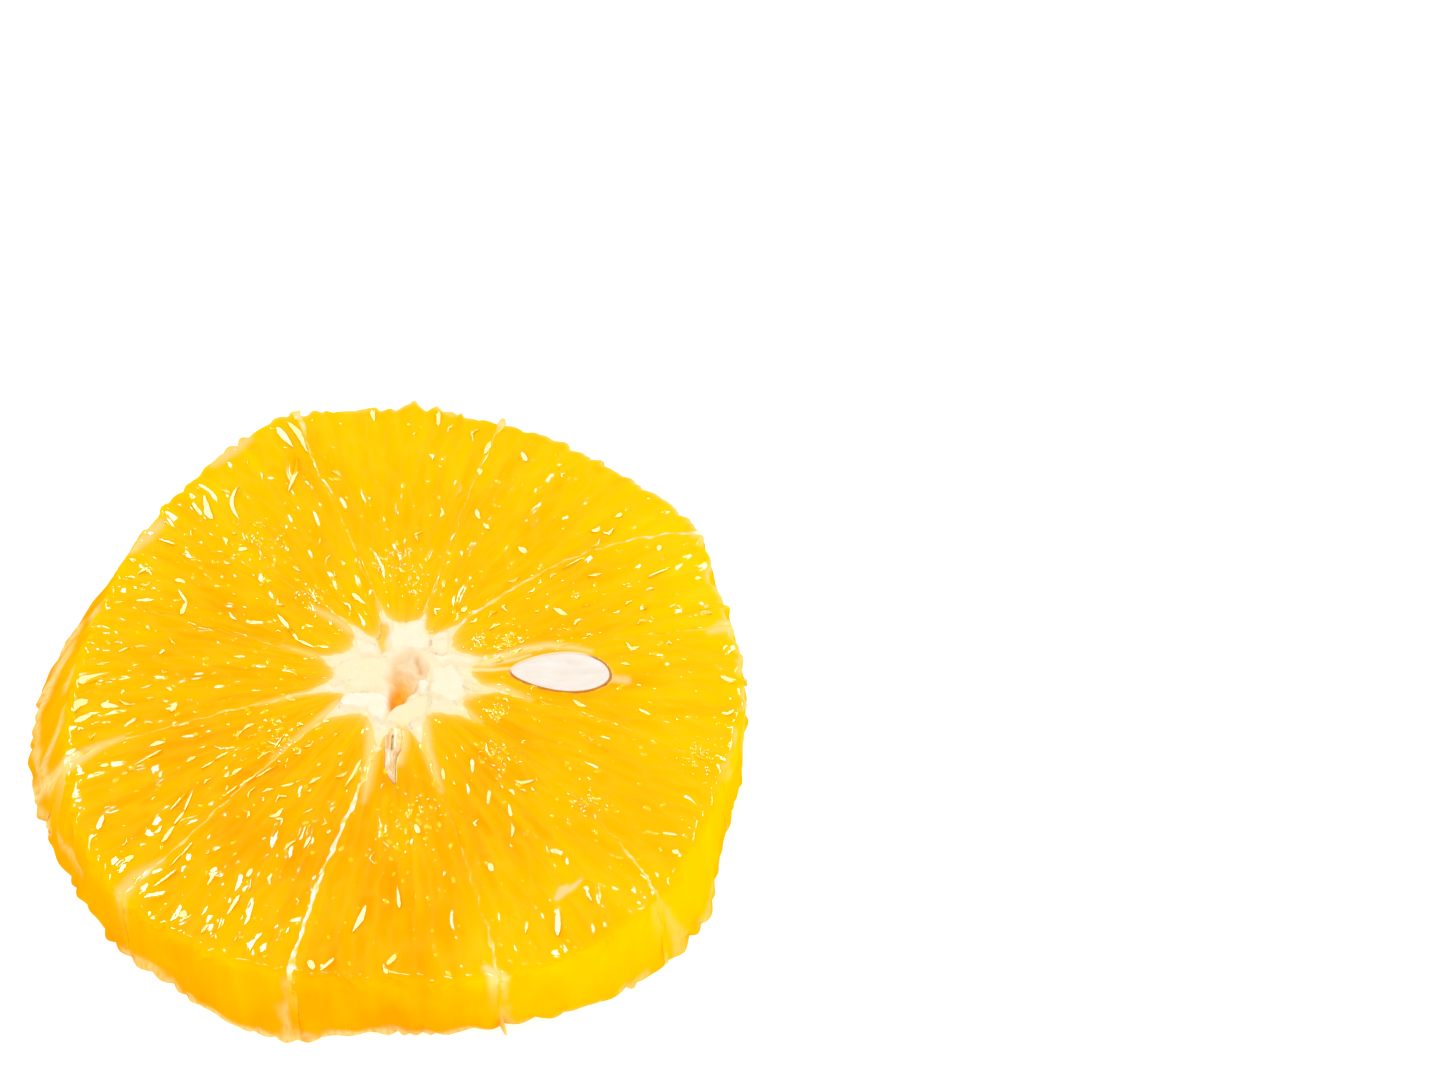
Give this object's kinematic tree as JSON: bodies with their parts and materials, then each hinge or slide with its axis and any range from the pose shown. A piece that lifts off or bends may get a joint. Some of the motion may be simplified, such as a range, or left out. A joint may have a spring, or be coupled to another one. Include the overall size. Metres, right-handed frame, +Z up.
{
  "type": "sliced orange",
  "caption": "Peeled round slice of orange lying flat: juicy wedges parted by thin membranes round a white pith core, with a cut seed in the face.",
  "frame": {"origin": "on the flat underside, straight below the middle of the pith core", "axes": "+Z up out of the cut face, +X to the right of the picture's view, +Y away from the viewer"},
  "size_m": [0.0725, 0.0711, 0.0113],
  "materials": {
    "flesh": "wet, juicy orange flesh with fine radial juice sacs",
    "membrane": "thin moist membrane, pale yellow to cream",
    "pith": "soft matt white pith",
    "seed_kernel": "smooth off-white cut kernel",
    "seed_coat": "thin brown papery seed coat"
  },
  "bodies": {
    "root": {"core": "pith", "membrane_01": "membrane", "membrane_02": "membrane", "membrane_03": "membrane", "membrane_04": "membrane", "membrane_05": "membrane", "membrane_06": "membrane", "membrane_07": "membrane", "membrane_08": "membrane", "membrane_09": "membrane", "membrane_10": "membrane", "membrane_11": "membrane", "membrane_12": "membrane", "segment_01": "flesh", "segment_02": "flesh", "segment_03": "flesh", "segment_04": "flesh", "segment_05": "flesh", "segment_06": "flesh", "segment_07": "flesh", "segment_08": "flesh", "segment_09": "flesh", "segment_10": "flesh", "segment_11": "flesh", "segment_12": "flesh", "seed_coat": "seed_coat", "seed_kernel": "seed_kernel", "seed_sliver": "seed_coat"}
  },
  "joints": []
}
